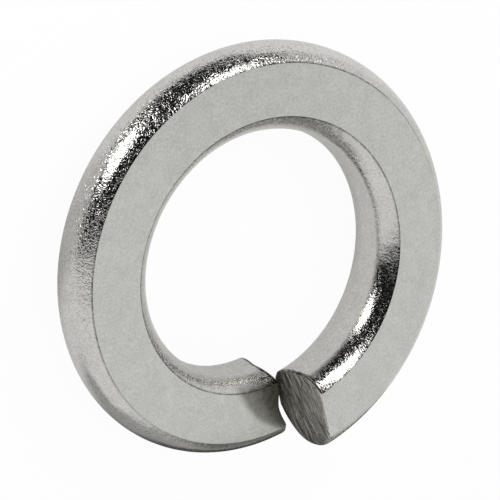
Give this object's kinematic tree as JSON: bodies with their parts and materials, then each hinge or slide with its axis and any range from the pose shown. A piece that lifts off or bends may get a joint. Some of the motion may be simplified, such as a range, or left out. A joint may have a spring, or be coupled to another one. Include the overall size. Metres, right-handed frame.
{
  "type": "spring lock washer",
  "caption": "Split helical spring lock washer for a bolt: one thick open steel turn with offset sheared ends that bite and keep the bolt tensioned.",
  "frame": {"origin": "on the bore axis, at the level of the lowest point of the low end, where the washer lies on a surface", "axes": "+Z along the bore axis, out of the upper seat; the split is at -Y, with the high end on its +X side"},
  "size_m": [0.021, 0.021, 0.0061],
  "materials": {
    "steel": "satin plated seats, bright orange-peel rim and bore, dull sheared ends"
  },
  "bodies": {
    "root": {"lock_washer": "steel"}
  },
  "joints": []
}
